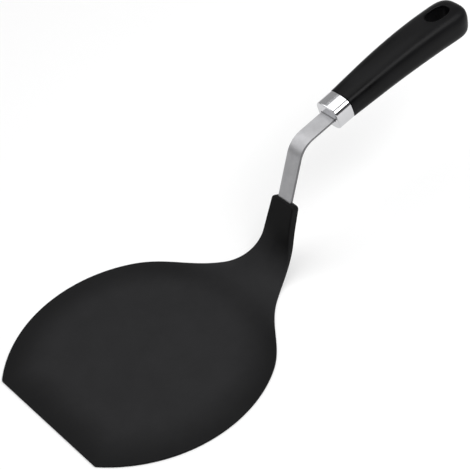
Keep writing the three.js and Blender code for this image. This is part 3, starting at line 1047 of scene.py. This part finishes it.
def camera_at_photo_angle(context):
    """Camera from the photograph's viewing angle, by its slope, roll and turn, with the
    tool's origin at an offset to the right, down and ahead of it."""
    slope, roll, heading = 0.7236, -0.2273, 0.5299
    offset = Vector((-57.4995, 75.0806, 1094.0797)) * MM
    focal_pixels, picture_pixels = 1800, 470
    sensor_width, farthest = 36, 20  # millimetres and metres
    turned = Matrix.Rotation(heading, 3, "Z")
    forward = Vector((0, math.cos(slope), -math.sin(slope)))
    right = Vector((1, 0, 0))
    down = forward.cross(right)
    level = Matrix((right, down, forward))
    tilt = Matrix.Rotation(roll, 3, "Z")
    view = tilt @ level @ turned
    data = bpy.data.cameras.new("camera")
    camera = in_scene("camera", data)
    data.sensor_width = sensor_width
    data.lens = sensor_width * focal_pixels / picture_pixels
    data.clip_end = farthest
    pose = Matrix((view[0], -view[1], -view[2])).transposed().to_4x4()
    pose.translation = -(view.transposed() @ offset)
    camera.matrix_world = pose
    context.scene.camera = camera


def soft_box(name, heading, height, distance, size, power):
    """A rectangular lamp that faces the tool from a heading and a height above the floor,
    both as angles."""
    heading, height = math.radians(heading), math.radians(height)
    level = math.cos(height)
    away = Vector((level * math.cos(heading), level * math.sin(heading), math.sin(height)))
    data = bpy.data.lights.new(name, "AREA")
    data.shape = "RECTANGLE"
    data.size, data.size_y = size
    data.energy = power
    lamp = in_scene(name, data)
    lamp.location = STAGE_MIDDLE + away * distance
    lamp.rotation_euler = (-away).to_track_quat("-Z", "Y").to_euler()


def floor_material(stage):
    """White table of a photo studio: matte paint, raised to white for the camera and for
    reflections, more so far from the tool, where the lamps' light ends."""
    made, tree = material("white_table")
    links = {0: node(tree, "ShaderNodeTexCoord").outputs["Object"]}
    middle = {1: STAGE_MIDDLE}
    apart = node(tree, "ShaderNodeVectorMath", links, operation="DISTANCE", sockets=middle)
    sockets = {"From Min": stage.near, "From Max": stage.far}
    sockets.update({"To Min": stage.near_lift, "To Max": stage.far_lift})
    lift = node(tree, "ShaderNodeMapRange", {"Value": apart.outputs["Value"]}, sockets=sockets)
    lift.interpolation_type = "SMOOTHSTEP"
    path = node(tree, "ShaderNodeLightPath")
    seen = path.outputs["Is Camera Ray"]
    for output, operation in (
        (path.outputs["Is Glossy Ray"], "MAXIMUM"),
        (path.outputs["Is Transmission Ray"], "MAXIMUM"),
        (lift.outputs["Result"], "MULTIPLY"),
    ):
        seen = node(tree, "ShaderNodeMath", {0: seen, 1: output}, operation=operation).outputs[0]
    glow = node(tree, "ShaderNodeEmission", {"Strength": seen})
    paint = node(tree, "ShaderNodeBsdfDiffuse", sockets={"Color": rgba(stage.floor)})
    links = {0: paint.outputs["BSDF"], 1: glow.outputs["Emission"]}
    both = node(tree, "ShaderNodeAddShader", links)
    node(tree, "ShaderNodeOutputMaterial", {"Surface": both.outputs["Shader"]})
    return made


def studio_world(stage):
    """Pale walls that meet the floor in a white horizon, a duller ceiling, and a dark curtain
    in front of the tool, which gives its polished edges a dark line."""
    world = bpy.data.worlds.new("studio")
    world.use_nodes = True
    tree = world.node_tree
    tree.nodes.clear()
    place = node(tree, "ShaderNodeTexCoord")
    direction = node(tree, "ShaderNodeSeparateXYZ", {0: place.outputs["Generated"]})
    shares = []
    for axis, start, end in (
        ("Z", 0.0, 0.12),  # over the horizon
        ("Z", 0.45, 0.95),  # overhead
        ("Y", -0.35, -0.6),  # in front of the tool
        ("Z", 0.02, 0.08),  # over the floor
    ):
        links, sockets = {"Value": direction.outputs[axis]}, {"From Min": start, "From Max": end}
        grown = node(tree, "ShaderNodeMapRange", links, sockets=sockets)
        grown.interpolation_type = "SMOOTHSTEP"
        shares.append(grown.outputs["Result"])
    over_horizon, overhead, in_front, over_floor = shares
    before = node(tree, "ShaderNodeMath", {0: in_front, 1: over_floor}, operation="MULTIPLY")
    strength = None
    for factor, level in (
        (over_horizon, stage.walls),
        (overhead, stage.ceiling),
        (before.outputs[0], stage.curtain),
    ):
        links = {"Factor": factor, "A": strength} if strength else {"Factor": factor}
        sockets = {"A": stage.horizon, "B": level}
        strength = node(tree, "ShaderNodeMix", links, sockets=sockets).outputs["Result"]
    white = {"Color": (1, 1, 1, 1)}
    sky = node(tree, "ShaderNodeBackground", {"Strength": strength}, sockets=white)
    node(tree, "ShaderNodeOutputWorld", {"Surface": sky.outputs["Background"]})
    return world


class SPATULA_OT_stage(Operator):
    """Makes a white floor, soft lamps, the world and a camera at the photograph's angle"""

    bl_idname = "spatula.stage"
    bl_label = "Stage"

    def execute(self, context):
        scene = context.scene
        kit = scene.spatula
        stage = kit.stage
        clear = 0.05 * MM
        bm = bmesh.new()
        bmesh.ops.create_grid(bm, x_segments=1, y_segments=1, size=stage.half_floor)
        bmesh.ops.translate(bm, verts=bm.verts, vec=(0, 0, -clear))
        mesh = bpy.data.meshes.new("floor")
        bm.to_mesh(mesh)
        bm.free()
        mesh.materials.append(floor_material(stage))
        in_scene("floor", mesh)
        for lamp in LAMPS:
            soft_box(*lamp)
        scene.world = studio_world(stage)
        scene.view_settings.view_transform = "Standard"
        camera_at_photo_angle(context)
        return {"FINISHED"}


class SPATULA_PT_pieces(Panel):
    bl_idname = "SPATULA_PT_pieces"
    bl_label = "Spatula"
    bl_space_type = "VIEW_3D"
    bl_region_type = "UI"
    bl_category = "Spatula"

    def draw(self, context):
        kit = context.scene.spatula
        groups = (
            (SPATULA_OT_blade, (kit.blade, kit.neck)),
            (SPATULA_OT_strip, (kit.strip,)),
            (SPATULA_OT_ferrule, (kit.ferrule,)),
            (SPATULA_OT_grip, (kit.grip,)),
            (SPATULA_OT_core, (kit.finishes,)),
            (SPATULA_OT_stage, (kit.stage,)),
        )
        for operator, settings in groups:
            box = self.layout.box()
            box.operator(operator.bl_idname)
            for group in settings:
                for key in group.bl_rna.properties.keys():
                    if key not in ("rna_type", "name"):
                        box.prop(group, key)


CLASSES = (
    BladeSizes,
    NeckSizes,
    StripSizes,
    FerruleSizes,
    GripSizes,
    Finishes,
    StageSettings,
    SpatulaSettings,
    SPATULA_OT_blade,
    SPATULA_OT_strip,
    SPATULA_OT_ferrule,
    SPATULA_OT_grip,
    SPATULA_OT_core,
    SPATULA_OT_stage,
    SPATULA_PT_pieces,
)


def register():
    for cls in CLASSES:
        bpy.utils.register_class(cls)
    bpy.types.Scene.spatula = PointerProperty(type=SpatulaSettings)


def unregister():
    del bpy.types.Scene.spatula
    for cls in reversed(CLASSES):
        bpy.utils.unregister_class(cls)


def main():
    register()
    for name in ("stage", "blade", "strip", "ferrule", "core", "grip"):
        getattr(bpy.ops.spatula, name)()


if __name__ == "__main__":
    main()
